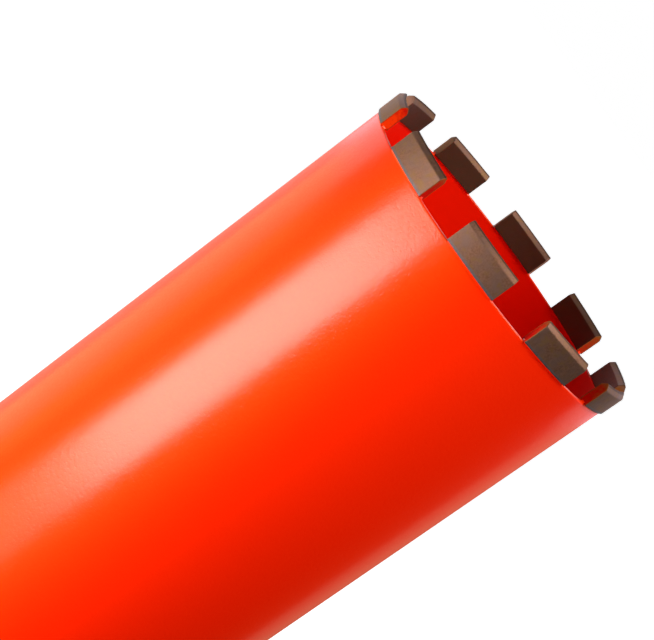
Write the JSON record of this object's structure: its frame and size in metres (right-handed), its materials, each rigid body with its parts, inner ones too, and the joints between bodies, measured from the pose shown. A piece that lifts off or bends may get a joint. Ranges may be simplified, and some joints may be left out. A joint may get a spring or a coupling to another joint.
{
  "type": "diamond core bit",
  "caption": "Wet diamond core bit: an open-mouthed painted steel tube with sintered diamond segments round its rim, and a threaded drive hub on its closed rear end.",
  "frame": {"origin": "centre of the drive hub's rear face, which the bit stands on", "axes": "+Z along the tool axis from the hub to the crown, +X through the middle of segment_01"},
  "size_m": [0.132, 0.1316, 0.4502],
  "materials": {
    "barrel_paint": "satin orange-red enamel with a fine orange peel",
    "hub_steel": "turned, bare",
    "segment_metal": "sintered metal matrix with diamond grit, matt"
  },
  "bodies": {
    "root": {"barrel": "barrel_paint", "back_plate": "barrel_paint", "barrel_weld": "barrel_paint", "hub_weld": "barrel_paint", "drive_hub": "hub_steel", "segment_01": "segment_metal", "segment_02": "segment_metal", "segment_03": "segment_metal", "segment_04": "segment_metal", "segment_05": "segment_metal", "segment_06": "segment_metal", "segment_07": "segment_metal", "segment_08": "segment_metal", "segment_09": "segment_metal", "segment_10": "segment_metal", "braze_seam_01": "barrel_paint", "braze_seam_02": "barrel_paint", "braze_seam_03": "barrel_paint", "braze_seam_04": "barrel_paint", "braze_seam_05": "barrel_paint", "braze_seam_06": "barrel_paint", "braze_seam_07": "barrel_paint", "braze_seam_08": "barrel_paint", "braze_seam_09": "barrel_paint", "braze_seam_10": "barrel_paint"}
  },
  "joints": []
}
